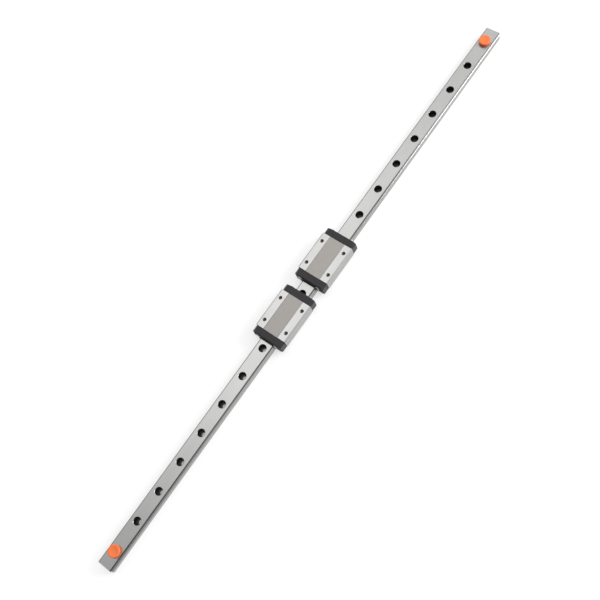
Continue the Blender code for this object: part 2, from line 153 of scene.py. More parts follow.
def inset(outline, distance):
    """An anticlockwise outline moved inwards by a distance."""
    points = [Vector(p) for p in outline]
    moved = []
    for i, point in enumerate(points):
        before = (point - points[i - 1]).normalized()
        after = (points[(i + 1) % len(points)] - point).normalized()
        inward = (Vector((-before.y, before.x)) + Vector((-after.y, after.x))).normalized()
        stretch = 1 / max(0.5, inward.dot(Vector((-after.y, after.x))))
        moved.append(point + inward * distance * stretch)
    return moved


def finished_mesh(shape):
    bmesh.ops.recalc_face_normals(shape, faces=shape.faces)
    mesh = bpy.data.meshes.new("shape")
    shape.to_mesh(mesh)
    shape.free()
    return mesh


def bar(outline, start_x, end_x, edge):
    """A bar along X with an outline in (y, z), whose end edges are rounded by a small radius."""
    outline = turned_outline(outline)
    rounding = [(0, edge), (0.3 * edge, 0.3 * edge), (edge, 0)]
    stations = [(start_x + x, depth) for x, depth in rounding]
    stations += [(end_x - x, depth) for x, depth in reversed(rounding)]
    shape = bmesh.new()
    rings = [[shape.verts.new((x, y, z)) for y, z in inset(outline, depth)] for x, depth in stations]
    for lower, upper in zip(rings, rings[1:]):
        for i in range(len(lower)):
            shape.faces.new((lower[i - 1], lower[i], upper[i], upper[i - 1]))
    shape.faces.new(rings[0])
    shape.faces.new(rings[-1][::-1])
    return finished_mesh(shape)


def working_object(mesh, matrix=Matrix.Identity(4)):
    obj = bpy.data.objects.new("working", mesh)
    obj.matrix_world = matrix
    bpy.context.scene.collection.objects.link(obj)
    return obj


def baked(obj):
    """The object's evaluated shape as a mesh in the row frame; the object is removed."""
    bpy.context.view_layer.update()
    evaluated = obj.evaluated_get(bpy.context.evaluated_depsgraph_get())
    mesh = bpy.data.meshes.new_from_object(evaluated)
    mesh.transform(obj.matrix_world)
    bpy.data.objects.remove(obj)
    shape = bmesh.new()
    shape.from_mesh(mesh)
    bmesh.ops.remove_doubles(shape, verts=shape.verts, dist=WELD)
    return finished_mesh(shape)


def combined(base, tools, operation="DIFFERENCE"):
    """The base mesh with each tool object cut from it or joined to it."""
    body = working_object(base)
    for tool in tools:
        modifier = body.modifiers.new("Cut", "BOOLEAN")
        modifier.operation = operation
        modifier.solver = "EXACT"
        modifier.object = tool
    mesh = baked(body)
    for tool in tools:
        bpy.data.objects.remove(tool)
    return mesh


def turned(profile, steps):
    """A solid turned about Z from (radius, height) points that run from the top to the bottom."""
    mesh = bpy.data.meshes.new("profile")
    edges = [(i, i + 1) for i in range(len(profile) - 1)]
    mesh.from_pydata([(radius, 0, height) for radius, height in profile], edges, [])
    obj = working_object(mesh)
    screw = obj.modifiers.new("Screw", "SCREW")
    screw.axis = "Z"
    screw.steps = steps
    screw.render_steps = steps
    screw.use_merge_vertices = True
    screw.merge_threshold = WELD
    return baked(obj)


def box_tool(low, high):
    shape = bmesh.new()
    bmesh.ops.create_cube(shape, size=1)
    middle = [(a + b) / 2 for a, b in zip(low, high)]
    size = [b - a for a, b in zip(low, high)]
    mesh = finished_mesh(shape)
    mesh.transform(Matrix.Translation(middle) @ Matrix.Diagonal((*size, 1)))
    return working_object(mesh)


def along_x(profile, x, y, z, outward=1, steps=32):
    """A turned cutter laid along X, with its profile's height pointing outwards."""
    lay = Matrix.Rotation(outward * math.pi / 2, 4, "Y")
    return working_object(turned(profile, steps), Matrix.Translation((x, y, z)) @ lay)


def plain_bore(radius, length):
    return [(0, length), (radius, length), (radius, 0), (0, 0)]


def rail_outline():
    """The +Y half of the rail's section; the ball groove has a slot at its bottom for the wire."""
    groove = math.degrees(math.acos((LOAD_ROW_Y - RAIL_HALF_WIDTH) / RAIL_GROOVE_RADIUS))
    slot_half = 0.45 * MM
    slot_y = 4.1 * MM
    slot = math.degrees(math.asin(slot_half / RAIL_GROOVE_RADIUS))
    centre = (LOAD_ROW_Y, TRACK_Z)
    bottom_chamfer = 0.5 * MM
    half = [(RAIL_HALF_WIDTH - bottom_chamfer, 0), (RAIL_HALF_WIDTH, bottom_chamfer)]
    half += arc(centre, RAIL_GROOVE_RADIUS, 180 + groove, 180 + slot, 12)
    half += [(slot_y, TRACK_Z - slot_half + GAP), (slot_y, TRACK_Z + slot_half - GAP)]
    half += arc(centre, RAIL_GROOVE_RADIUS, 180 - slot, 180 - groove, 12)
    half += [(RAIL_HALF_WIDTH, RAIL_HEIGHT - RAIL_TOP_CHAMFER)]
    return half + [(RAIL_HALF_WIDTH - RAIL_TOP_CHAMFER, RAIL_HEIGHT)]


def bolt_hole_profile():
    """A bolt hole with its counterbore, which is countersunk a little at its mouth and at its seat."""
    seat = RAIL_HEIGHT - COUNTERBORE_DEPTH
    top = RAIL_HEIGHT + OVERSHOOT
    mouth = 0.18 * MM
    profile = [(0, top), (COUNTERBORE_RADIUS + mouth + OVERSHOOT, top)]
    profile += [(COUNTERBORE_RADIUS, RAIL_HEIGHT - mouth), (COUNTERBORE_RADIUS, seat)]
    profile += [(BOLT_HOLE_RADIUS + mouth, seat), (BOLT_HOLE_RADIUS, seat - mouth)]
    return profile + [(BOLT_HOLE_RADIUS, -OVERSHOOT), (0, -OVERSHOOT)]


def rail_mesh():
    outline = rounded(mirrored(rail_outline()), 0.12 * MM, 2)
    body = bar(outline, -RAIL_HALF_LENGTH, RAIL_HALF_LENGTH, 0.2 * MM)
    first_hole = Matrix.Translation((-HOLE_PITCH * (HOLE_COUNT - 1) / 2, 0, 0))
    holes = working_object(turned(bolt_hole_profile(), 48), first_hole)
    array = holes.modifiers.new("Array", "ARRAY")
    array.count = HOLE_COUNT
    array.use_relative_offset = False
    array.use_constant_offset = True
    array.constant_offset_displace = (HOLE_PITCH, 0, 0)
    return combined(body, [holes])


def tapped_hole_profile():
    """An M3 hole with its mouth at height 0: a small countersink, the threads and a drill point."""
    major = 1.5 * MM
    minor = 1.25 * MM
    pitch = 0.5 * MM
    threads = 6
    depth = 3.5 * MM
    drill_point = 0.7 * MM
    mouth = 0.12 * MM
    points = [(0, OVERSHOOT), (minor + 2 * mouth + OVERSHOOT, OVERSHOOT), (minor + mouth, -mouth)]
    for turn in range(threads):
        height = -mouth - turn * pitch
        points += [(minor, height - 0.4 * pitch), (minor, height - 0.55 * pitch)]
        points += [(major, height - 0.95 * pitch)]
    return points + [(minor, -depth), (0, -depth - drill_point)]


def block_outline():
    """The +Y half of the block's section, from the recess on top round to the channel's ceiling."""
    groove = math.degrees(math.acos((CHANNEL_HALF_WIDTH - LOAD_ROW_Y) / BLOCK_GROOVE_RADIUS))
    across, down = BLOCK_TOP_CHAMFER
    bottom_chamfer = 0.6 * MM
    channel_chamfer = 0.3 * MM
    side = BLOCK_HALF_WIDTH
    half = [(RECESS_HALF_WIDTH - RECESS_DEPTH, BLOCK_TOP - RECESS_DEPTH), (RECESS_HALF_WIDTH, BLOCK_TOP)]
    half += [(side - across, BLOCK_TOP), (side, BLOCK_TOP - down)]
    half += [(side, BLOCK_BOTTOM + bottom_chamfer), (side - bottom_chamfer, BLOCK_BOTTOM)]
    half += [(CHANNEL_HALF_WIDTH + channel_chamfer, BLOCK_BOTTOM)]
    half += [(CHANNEL_HALF_WIDTH, BLOCK_BOTTOM + channel_chamfer)]
    half += arc((LOAD_ROW_Y, TRACK_Z), BLOCK_GROOVE_RADIUS, -groove, groove, 20)
    return half + [(CHANNEL_HALF_WIDTH, CHANNEL_TOP)]


def block_mesh():
    outline = rounded(mirrored(block_outline()), 0.12 * MM, 2)
    body = bar(outline, -BLOCK_HALF_LENGTH, BLOCK_HALF_LENGTH, 0.15 * MM)
    screw_depth = 4 * MM
    tools = []
    for x in (-MOUNT_HOLE_OFFSET, MOUNT_HOLE_OFFSET):
        for y in (-MOUNT_HOLE_OFFSET, MOUNT_HOLE_OFFSET):
            hole = turned(tapped_hole_profile(), 40)
            tools.append(working_object(hole, Matrix.Translation((x, y, BLOCK_TOP))))
    for row in ROWS.values():
        bore = plain_bore(RETURN_BORE_RADIUS, 2 * (BLOCK_HALF_LENGTH + OVERSHOOT))
        tools.append(along_x(bore, -BLOCK_HALF_LENGTH - OVERSHOOT, row * RETURN_ROW_Y, TRACK_Z))
        for end in ENDS.values():
            tapped = plain_bore(0.95 * MM, screw_depth + OVERSHOOT)
            start_x = end * (BLOCK_HALF_LENGTH - screw_depth)
            tools.append(along_x(tapped, start_x, row * SCREW_Y, SCREW_Z, end))
    return combined(body, tools)


def end_cap_outline():
    side = 13 * MM
    top = 12.6 * MM
    bottom = 3 * MM
    top_chamfer = 1.5 * MM
    bottom_chamfer = 0.3 * MM
    channel_side = 6.5 * MM
    half = [(side - top_chamfer, top), (side, top - top_chamfer)]
    half += [(side, bottom + bottom_chamfer), (side - bottom_chamfer, bottom)]
    return half + [(channel_side, bottom), (channel_side, 8.5 * MM)]


def end_cap_mesh():
    """The right-hand end cap, with the balls' turning pockets in its inner face."""
    inner = BLOCK_HALF_LENGTH + GAP
    body = bar(rounded(mirrored(end_cap_outline()), 0.3 * MM, 3), inner, CAP_OUTER_X, 0.2 * MM)
    past = CAP_OUTER_X + OVERSHOOT
    grease_reach = 4 * MM
    grease_hole = plain_bore(GREASE_HOLE_RADIUS, grease_reach)
    tools = [along_x(grease_hole, past - grease_reach, 0, GREASE_HOLE_Z)]
    rim = arc((TURN_RADIUS, 0), TURN_CHANNEL_RADIUS, 90, -90, 16)
    pocket = [(0, TURN_CHANNEL_RADIUS), *rim, (0, -TURN_CHANNEL_RADIUS)]
    for row in ROWS.values():
        turn = Matrix.Translation((BLOCK_HALF_LENGTH, row * TURN_Y, TRACK_Z))
        tools.append(working_object(turned(pocket, 48), turn))
        bore = plain_bore(SCREW_BORE_RADIUS, past - inner + OVERSHOOT)
        tools.append(along_x(bore, inner - OVERSHOOT, row * SCREW_Y, SCREW_Z))
    return combined(body, tools)


def lip_outline():
    """The +Y half of the wiping lip, which follows the rail's top and reaches into its ball groove."""
    gap = 0.12 * MM
    bottom = 6.4 * MM
    radius = RAIL_GROOVE_RADIUS - gap
    side = RAIL_HALF_WIDTH + gap
    top = RAIL_HEIGHT + gap
    low = math.degrees(math.asin((bottom - TRACK_Z) / radius))
    high = math.degrees(math.acos((side - LOAD_ROW_Y) / radius))
    half = [(RAIL_HALF_WIDTH, 9 * MM), (7 * MM, 8 * MM), (7 * MM, bottom)]
    half += arc((LOAD_ROW_Y, TRACK_Z), radius, 180 - low, high, 10)
    return half + [(side, top - RAIL_TOP_CHAMFER), (side - RAIL_TOP_CHAMFER, top)]


def seal_plate_outline():
    top = 11.8 * MM
    side = 12.2 * MM
    bottom = 3.9 * MM
    slant = 2 * MM
    channel_side = 6.6 * MM
    half = [(side - slant, top), (side, top - slant), (side, bottom)]
    return half + [(channel_side, bottom), (channel_side, 8.6 * MM)]


def end_seal_mesh():
    """The right-hand end seal: a thin plate and the wiping lip as one piece of rubber."""
    inner = CAP_OUTER_X + GAP
    plate = bar(rounded(mirrored(seal_plate_outline()), 0.4 * MM, 3), inner, SEAL_OUTER_X, 0.06 * MM)
    lip = bar(rounded(mirrored(lip_outline()), 0.15 * MM, 2), inner + GAP, LIP_OUTER_X, 0.15 * MM)
    seal = combined(plate, [working_object(lip)], "UNION")
    before = inner - OVERSHOOT
    length = SEAL_OUTER_X - inner + 2 * OVERSHOOT
    tools = [along_x(plain_bore(GREASE_HOLE_RADIUS, length), before, 0, GREASE_HOLE_Z)]
    for row in ROWS.values():
        tools.append(along_x(plain_bore(SCREW_BORE_RADIUS, length), before, row * SCREW_Y, SCREW_Z))
    return combined(seal, tools)


def screw_mesh():
    """A pan-head screw along X with a cross recess and threads, its head's underside at the origin."""
    radius = 1.6 * MM
    height = 0.65 * MM
    length = 9.9 * MM
    major = 0.85 * MM
    minor = 0.68 * MM
    pitch = 0.4 * MM
    threads = 21
    break_edge = 0.08 * MM
    angles = (0.2, 0.5, 0.8, 1.1, 1.35)
    dome = [(radius * math.sin(a), height * (0.45 + 0.55 * math.cos(a))) for a in angles]
    profile = [(0, height), *dome, (radius, height * 0.35)]
    profile += [(radius, break_edge), (radius - break_edge, 0), (major, 0)]
    for turn in range(threads):
        top = -2 * pitch - turn * pitch
        profile += [(major, top), (minor, top - 0.5 * pitch)]
    profile += [(major * 0.6, -length), (0, -length)]
    arm = radius * 0.52
    width = radius * 0.12
    cross = combined(
        baked(box_tool((-arm, -width, height * 0.3), (arm, width, OVERSHOOT))),
        [box_tool((-width, -arm, height * 0.3), (width, arm, OVERSHOOT))],
        "UNION",
    )
    mesh = combined(turned(profile, 36), [working_object(cross)])
    mesh.transform(Matrix.Rotation(math.pi / 2, 4, "Y"))
    return mesh


def return_guide_mesh():
    """The right-hand half-round guide, whose groove is the inner wall of the balls' U-turn."""
    half_height = 1.25 * MM
    reach = 180 - math.degrees(math.asin(half_height / TURN_CHANNEL_RADIUS))
    groove = arc((TURN_RADIUS, 0), TURN_CHANNEL_RADIUS, reach, 360 - reach, 16)
    spool = turned([(0, half_height), *groove, (0, -half_height)], 48)
    size = TURN_RADIUS + OVERSHOOT
    return combined(spool, [box_tool((-size, -size, -size), (2 * GAP, size, size))])


def circuit_point(distance):
    """The back ball track's centre line, at a distance along it from the left end of its loaded row."""
    straight = 2 * BLOCK_HALF_LENGTH
    bend = math.pi * TURN_RADIUS
    lap, rest = divmod(distance, straight + bend)
    if rest < straight:
        x = rest - BLOCK_HALF_LENGTH
        y = -TURN_RADIUS
    else:
        angle = (rest - straight) / TURN_RADIUS - math.pi / 2
        x = BLOCK_HALF_LENGTH + TURN_RADIUS * math.cos(angle)
        y = TURN_RADIUS * math.sin(angle)
    flip = 1 if lap % 2 == 0 else -1
    return Vector((flip * x, TURN_Y + flip * y, TRACK_Z))


def balls_mesh():
    """The loose balls of one circuit, evenly spread along the track."""
    length = 4 * BLOCK_HALF_LENGTH + 2 * math.pi * TURN_RADIUS
    shape = bmesh.new()
    for i in range(BALL_COUNT):
        place = Matrix.Translation(circuit_point(i * length / BALL_COUNT))
        bmesh.ops.create_uvsphere(shape, u_segments=20, v_segments=12, radius=BALL_RADIUS, matrix=place)
    return finished_mesh(shape)


def retainer_mesh():
    """The back wire that keeps the balls in, with both its ends bent out over the end seals."""
    bend = 0.5 * MM
    right = [*arc((HOOK_X - bend, WIRE_Y + bend), bend, 270, 360, 8), (HOOK_X, 8 * MM)]
    route = [(-x, y) for x, y in reversed(right)] + right
    curve = bpy.data.curves.new("wire", "CURVE")
    curve.dimensions = "3D"
    curve.bevel_depth = WIRE_RADIUS
    curve.bevel_resolution = 4
    curve.use_fill_caps = True
    spline = curve.splines.new("POLY")
    spline.points.add(len(route) - 1)
    for point, (x, y) in zip(spline.points, route):
        point.co = (x, y, TRACK_Z, 1)
    return baked(working_object(curve))


def stop_plug_mesh():
    """A stop plug about its own axis: a dished head, a stem for the counterbore and two springy legs."""
    under = RAIL_HEIGHT + GAP
    top = PLUG_HEAD_TOP
    radius = PLUG_HEAD_RADIUS
    rim = PLUG_RIM
    seat = RAIL_HEIGHT - COUNTERBORE_DEPTH + 5 * GAP
    dish = 0.12 * MM
    break_edge = 0.1 * MM
    stem = 2.8 * MM
    leg = 1.55 * MM
    foot = 0.4 * MM
    slit_half = 0.4 * MM
    profile = [(0, top - dish), (radius - 1.9 * MM, top - dish), (radius - 1.6 * MM, top)]
    profile += arc((radius - rim, top - rim), rim, 90, 0, 8)
    profile += [(radius, under + break_edge), (radius - break_edge, under), (stem, under), (stem, seat)]
    profile += [(leg, seat), (leg, 2 * foot), (leg - foot, foot), (0, foot)]
    slit = box_tool((-4 * MM, -slit_half, -OVERSHOOT), (4 * MM, slit_half, seat))
    return combined(turned(profile, 72), [slit])


# ---------------------------------------------------------------- materials


def new_material(name, base, metallic, roughness):
    material = bpy.data.materials.new(name)
    material.use_nodes = True
    material.diffuse_color = (*base, 1)
    shader = material.node_tree.nodes["Principled BSDF"]
    shader.inputs["Base Color"].default_value = (*base, 1)
    shader.inputs["Metallic"].default_value = metallic
    shader.inputs["Roughness"].default_value = roughness
    return material


def noise(material, scale, detail=3.0):
    """Noise over the piece's own coordinates, with a frequency per metre along each axis."""
    nodes = material.node_tree.nodes
    links = material.node_tree.links
    coordinates = nodes.new("ShaderNodeTexCoord")
    mapping = nodes.new("ShaderNodeMapping")
    mapping.inputs["Scale"].default_value = scale
    texture = nodes.new("ShaderNodeTexNoise")
    texture.inputs["Scale"].default_value = 1.0
    texture.inputs["Detail"].default_value = detail
    links.new(coordinates.outputs["Object"], mapping.inputs["Vector"])
    links.new(mapping.outputs["Vector"], texture.inputs["Vector"])
    return texture.outputs["Fac"]


def math_node(material, operation, first, second=None):
    """The result of one step of arithmetic on a node's output and a second output or number."""
    links = material.node_tree.links
    node = material.node_tree.nodes.new("ShaderNodeMath")
    node.operation = operation
    links.new(first, node.inputs[0])
    if isinstance(second, float):
        node.inputs[1].default_value = second
    elif second is not None:
        links.new(second, node.inputs[1])
    return node.outputs["Value"]


def vary_colour(material, factor, dark, light):
    nodes = material.node_tree.nodes
    links = material.node_tree.links
    mix = nodes.new("ShaderNodeMix")
    mix.data_type = "RGBA"
    mix.inputs["A"].default_value = (*dark, 1)
    mix.inputs["B"].default_value = (*light, 1)
    links.new(factor, mix.inputs["Factor"])
    links.new(mix.outputs["Result"], nodes["Principled BSDF"].inputs["Base Color"])


def vary_roughness(material, factor, low, high):
    nodes = material.node_tree.nodes
    links = material.node_tree.links
    spread = nodes.new("ShaderNodeMapRange")
    spread.inputs["From Min"].default_value = 0.3
    spread.inputs["From Max"].default_value = 0.7
    spread.inputs["To Min"].default_value = low
    spread.inputs["To Max"].default_value = high
    links.new(factor, spread.inputs["Value"])
    links.new(spread.outputs["Result"], nodes["Principled BSDF"].inputs["Roughness"])


def add_bump(material, factor, depth, strength=1.0):
    nodes = material.node_tree.nodes
    links = material.node_tree.links
    bump = nodes.new("ShaderNodeBump")
    bump.inputs["Distance"].default_value = depth
    bump.inputs["Strength"].default_value = strength
    links.new(factor, bump.inputs["Height"])
    links.new(bump.outputs["Normal"], nodes["Principled BSDF"].inputs["Normal"])


def ground_steel(name, tone, roughness, scratch_scale, anisotropy=0.0):
    """Steel ground along X: fine scratches that are long one way, and a faint cloudiness."""
    base = (tone, tone * 0.995, tone * 0.985)
    material = new_material(name, base, 1.0, roughness)
    scratches = noise(material, scratch_scale, 4.0)
    clouds = noise(material, (60, 160, 160), 2.0)
    vary_colour(material, clouds, [c * 0.94 for c in base], [min(1, c * 1.04) for c in base])
    vary_roughness(material, scratches, roughness - 0.06, roughness + 0.08)
    add_bump(material, scratches, 0.003 * MM)
    if anisotropy:
        nodes = material.node_tree.nodes
        across = nodes.new("ShaderNodeTangent")
        across.direction_type = "RADIAL"
        across.axis = "X"
        shader = nodes["Principled BSDF"]
        shader.inputs["Anisotropic"].default_value = anisotropy
        material.node_tree.links.new(across.outputs["Tangent"], shader.inputs["Tangent"])
    return material


def add_patches(material, scale, dark, light):
    """Colour that drifts between two tones over broad patches."""
    vary_colour(material, noise(material, (scale, scale, scale)), dark, light)


def add_grain(material, scale, depth, low, high, detail=4.0):
    """A fine grain that bumps the surface and spreads its roughness."""
    grain = noise(material, (scale, scale, scale), detail)
    vary_roughness(material, grain, low, high)
    add_bump(material, grain, depth)
    return grain


def matt_band_steel():
    material = new_material("block_matt_band", (0.43, 0.408, 0.385), 1.0, 0.55)
    add_patches(material, 300, (0.415, 0.393, 0.37), (0.445, 0.423, 0.4))
    add_grain(material, 5000, 0.01 * MM, 0.48, 0.6)
    return material


def cap_plastic():
    material = new_material("cap_moulded_plastic", (0.014, 0.014, 0.0165), 0.0, 0.38)
    material.node_tree.nodes["Principled BSDF"].inputs["Specular IOR Level"].default_value = 0.42
    add_patches(material, 250, (0.012, 0.012, 0.0145), (0.017, 0.016, 0.019))
    add_grain(material, 6000, 0.012 * MM, 0.32, 0.46, 3.0)
    return material


def seal_rubber():
    material = new_material("seal_black_rubber", (0.014, 0.014, 0.015), 0.0, 0.6)
    grain = add_grain(material, 3500, 0.01 * MM, 0.5, 0.68)
    vary_colour(material, grain, (0.011, 0.011, 0.012), (0.018, 0.018, 0.019))
    return material


def guide_plastic():
    material = new_material("guide_plastic", (0.09, 0.09, 0.095), 0.0, 0.5)
    grain = noise(material, (4000, 4000, 4000))
    vary_colour(material, grain, (0.08, 0.08, 0.085), (0.1, 0.1, 0.105))
    add_bump(material, grain, 0.006 * MM)
    return material


def ball_steel():
    material = new_material("ball_polished_steel", (0.82, 0.82, 0.83), 1.0, 0.06)
    vary_roughness(material, noise(material, (2000, 2000, 2000)), 0.04, 0.1)
    return material


def plug_plastic():
    material = new_material("plug_orange_plastic", (1.0, 0.21, 0.05), 0.0, 0.42)
    add_patches(material, 350, (0.96, 0.19, 0.045), (1.0, 0.23, 0.06))
    add_grain(material, 2500, 0.01 * MM, 0.36, 0.5)
    return material


def plug_wall_painted_shade_plastic():
    """The same orange, deeper and a little duller, for the wall of a plug's head: painted shade on the
    wall.
    """
    material = new_material("plug_wall_painted_shade_orange_plastic", (0.72, 0.13, 0.035), 0.0, 0.48)
    add_patches(material, 350, (0.68, 0.115, 0.03), (0.74, 0.14, 0.04))
    add_grain(material, 2500, 0.01 * MM, 0.42, 0.55)
    return material


def make_materials():
    lengthwise = (90, 9000, 9000)
    return {
        "rail": ground_steel("rail_ground_top", 0.54, 0.3, lengthwise, 0.7),
        # The side is a rougher ground steel; its darker tone is partly that finish and partly painted
        # shade.
        "side": ground_steel("rail_ground_side_and_painted_shade", 0.42, 0.36, lengthwise, 0.6),
        # The ball groove is a darker tone of the same ground steel: painted shade along the groove.
        "groove": ground_steel("rail_ball_groove_painted_shade", 0.34, 0.26, lengthwise, 0.85),
        # The top edge chamfer is near-black steel: painted shade, the dark line below the rail's top
        # edge.
        "chamfer": ground_steel("rail_edge_chamfer_painted_shade", 0.115, 0.26, lengthwise, 0.7),
        # The counterbores are near-black steel: painted shade inside the holes.
        "bore": ground_steel("bore_painted_shade", 0.07, 0.45, (3000, 3000, 3000)),
        "block": ground_steel("block_ground_top", 0.575, 0.32, lengthwise, 0.5),
        # The block's sides and edge chamfers are darker tones of its ground steel: painted shade.
        "block_side_painted_shade": ground_steel("block_ground_side_painted_shade", 0.45, 0.32, lengthwise, 0.5),
        "block_edge": ground_steel("block_edge_chamfer_painted_shade", 0.34, 0.32, lengthwise, 0.5),
        # The recess steps are dark steel: painted shade at the band's edges.
        "step": ground_steel("block_recess_step_painted_shade", 0.16, 0.35, lengthwise, 0.5),
        # The tapped threads are darker steel: painted shade inside the holes.
        "thread": ground_steel("tapped_thread_painted_shade", 0.25, 0.4, (3000, 3000, 3000)),
        "screw": ground_steel("screw_stainless", 0.52, 0.26, (4000, 4000, 4000)),
        "wire": ground_steel("drawn_wire", 0.65, 0.18, lengthwise),
        "band": matt_band_steel(),
        "cap": cap_plastic(),
        "seal": seal_rubber(),
        "guide": guide_plastic(),
        "ball": ball_steel(),
        "plug": plug_plastic(),
        "plug_wall": plug_wall_painted_shade_plastic(),
    }


# ---------------------------------------------------------------- pieces


def smooth(mesh):
    mesh.shade_smooth()
    mesh.set_sharp_from_angle(angle=math.radians(28))
    return mesh


def add_piece(name, mesh, body, node, matrix=Matrix.Identity(4)):
    """A finished piece in place of a CAD node, riding on the node's body."""
    obj = bpy.data.objects.new(name, mesh)
    obj.matrix_world = matrix
    bpy.context.scene.collection.objects.link(obj)
    normals = obj.modifiers.new("Normals", "WEIGHTED_NORMAL")
    normals.keep_sharp = True
    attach(obj, body)
    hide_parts(node)
    return obj


def painted(mesh, materials, finishes, finish_of=None):
    """The mesh with the named finishes; a function, if given, names the one that each face takes."""
    for name in finishes:
        mesh.materials.append(materials[name])
    if finish_of:
        for polygon in mesh.polygons:
            polygon.material_index = finishes.index(finish_of(polygon))
    return smooth(mesh)


def from_nearest(value, pitch, offset):
    """The distance from a value to the nearest of the places that lie a pitch apart."""
    return abs((value - offset + pitch / 2) % pitch - pitch / 2)


def rail_finish(polygon):
    x, y, z = polygon.center
    from_axis = math.hypot(from_nearest(x, HOLE_PITCH, HOLE_PITCH / 2), y)
    from_track = math.hypot(abs(y) - LOAD_ROW_Y, z - TRACK_Z)
    chamfer_middle = RAIL_HALF_WIDTH + RAIL_HEIGHT - RAIL_TOP_CHAMFER
    # The bores take near-black steel: painted shade inside the holes.
    if from_axis < COUNTERBORE_RADIUS * 1.02 and GAP < z < RAIL_HEIGHT - GAP:
        return "bore"
    # The groove's faces take the darker steel: painted shade.
    if from_track < RAIL_GROOVE_RADIUS * 1.01 and abs(y) < RAIL_HALF_WIDTH:
        return "groove"
    # The top edge chamfer takes near-black steel: painted shade.
    if abs(abs(y) + z - chamfer_middle) < GAP and z > TRACK_Z:
        return "chamfer"
    # The sides take the darker steel: partly their own finish, partly painted shade.
    if abs(y) > RAIL_HALF_WIDTH - GAP or abs(polygon.normal.x) > 0.9:
        return "side"
    return "rail"


def plug_finish(polygon):
    x, y, z = polygon.center
    # The head's wall takes the deeper orange: painted shade.
    on_wall = math.hypot(x, y) > PLUG_HEAD_RADIUS * 0.95 and z < PLUG_HEAD_TOP - PLUG_RIM
    return "plug_wall" if on_wall else "plug"


def block_finish(polygon):
    x, y, z = polygon.center
    above_channel = z > CHANNEL_TOP
    from_hole = math.hypot(abs(x) - MOUNT_HOLE_OFFSET, abs(y) - MOUNT_HOLE_OFFSET)
    # Sloped recess steps take a dark steel: painted shade at the band's edges.
    if above_channel and z < BLOCK_TOP - GAP / 5 and abs(y) < RECESS_HALF_WIDTH:
        return "band" if polygon.normal.z > 0.8 else "step"
    # Thread faces take a darker steel: painted shade inside the holes.
    if from_hole < 1.6 * MM and above_channel:
        return "thread" if z < BLOCK_TOP - 0.2 * MM else "block"
    # Sides and edge chamfers take darker tones of the same steel: painted shade.
    if abs(polygon.normal.z) < 0.3:
        return "block_side_painted_shade"
    if above_channel and polygon.normal.z < 0.95:
        return "block_edge"
    return "block"


def add_carriage(side, meshes):
    body = f"{side}_carriage"
    low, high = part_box(f"{body}_block")
    centre = Matrix.Translation(((low.x + high.x) / 2, 0, 0))
    half_turn = Matrix.Rotation(math.pi, 4, "Z")
    facing = {-1: half_turn, 1: Matrix.Identity(4)}

    def add(kind, node, matrix):
        add_piece(f"{body}_{node}_finished", meshes[kind], body, f"{body}_{node}", centre @ matrix)

    add("block", "block", Matrix.Identity(4))
    for row, toward in ROWS.items():
        add("balls", f"ball_circuit_{row}", facing[toward])
        add("retainer", f"ball_retainer_{row}", facing[toward])
    for end, outward in ENDS.items():
        add("end_cap", f"end_cap_{end}", facing[outward])
        add("end_seal", f"end_seal_{end}", facing[outward])
        for row, toward in ROWS.items():
            head = Matrix.Translation((outward * (SEAL_OUTER_X + GAP), toward * SCREW_Y, SCREW_Z))
            turn = Matrix.Translation((outward * BLOCK_HALF_LENGTH, toward * TURN_Y, TRACK_Z))
            add("screw", f"screw_{end}_{row}", head @ facing[outward])
            add("guide", f"return_guide_{end}_{row}", turn @ facing[outward])


def add_pieces(materials):
    rail = painted(rail_mesh(), materials, RAIL_FINISHES, rail_finish)
    add_piece("rail_finished", rail, "rail", "rail")
    plug = painted(stop_plug_mesh(), materials, PLUG_FINISHES, plug_finish)
    for side, direction in ENDS.items():
        node = f"stop_plug_{side}"
        place = Matrix.Translation((direction * HOLE_PITCH * (HOLE_COUNT - 1) / 2, 0, 0))
        add_piece(f"{node}_finished", plug, node, node, place)
    meshes = {
        "block": painted(block_mesh(), materials, BLOCK_FINISHES, block_finish),
        "end_cap": painted(end_cap_mesh(), materials, ["cap"]),
        "end_seal": painted(end_seal_mesh(), materials, ["seal"]),
        "screw": painted(screw_mesh(), materials, ["screw"]),
        "guide": painted(return_guide_mesh(), materials, ["guide"]),
        "balls": painted(balls_mesh(), materials, ["ball"]),
        "retainer": painted(retainer_mesh(), materials, ["wire"]),
    }
    for side in ENDS:
        add_carriage(side, meshes)


# ---------------------------------------------------------------- studio


def add_camera():
    """A camera high above the rail's left end, in front of it, looking along the rail to the right."""
    right = Vector((0.57812, -0.78889, -0.20842))
    down = Vector((-0.79785, -0.49302, -0.34694))
    ahead = Vector((0.17094, 0.36686, -0.91444))
    axes = Matrix((right, -down, -ahead)).transposed().to_4x4()
    data = bpy.data.cameras.new("camera")
    data.sensor_width = 36
    data.lens = 51.16
    data.clip_start = 0.01
    camera = bpy.data.objects.new("camera", data)
    camera.matrix_world = Matrix.Translation((-0.12504, -0.23277, 0.58407)) @ axes
    bpy.context.scene.collection.objects.link(camera)
    bpy.context.scene.camera = camera


def add_area_light(name, place, target, size, watts):
    data = bpy.data.lights.new(name, "AREA")
    data.shape = "RECTANGLE"
    data.size, data.size_y = size
    data.energy = watts
    light = bpy.data.objects.new(name, data)
    light.location = place
    light.rotation_euler = (Vector(target) - Vector(place)).to_track_quat("-Z", "Y").to_euler()
    bpy.context.scene.collection.objects.link(light)


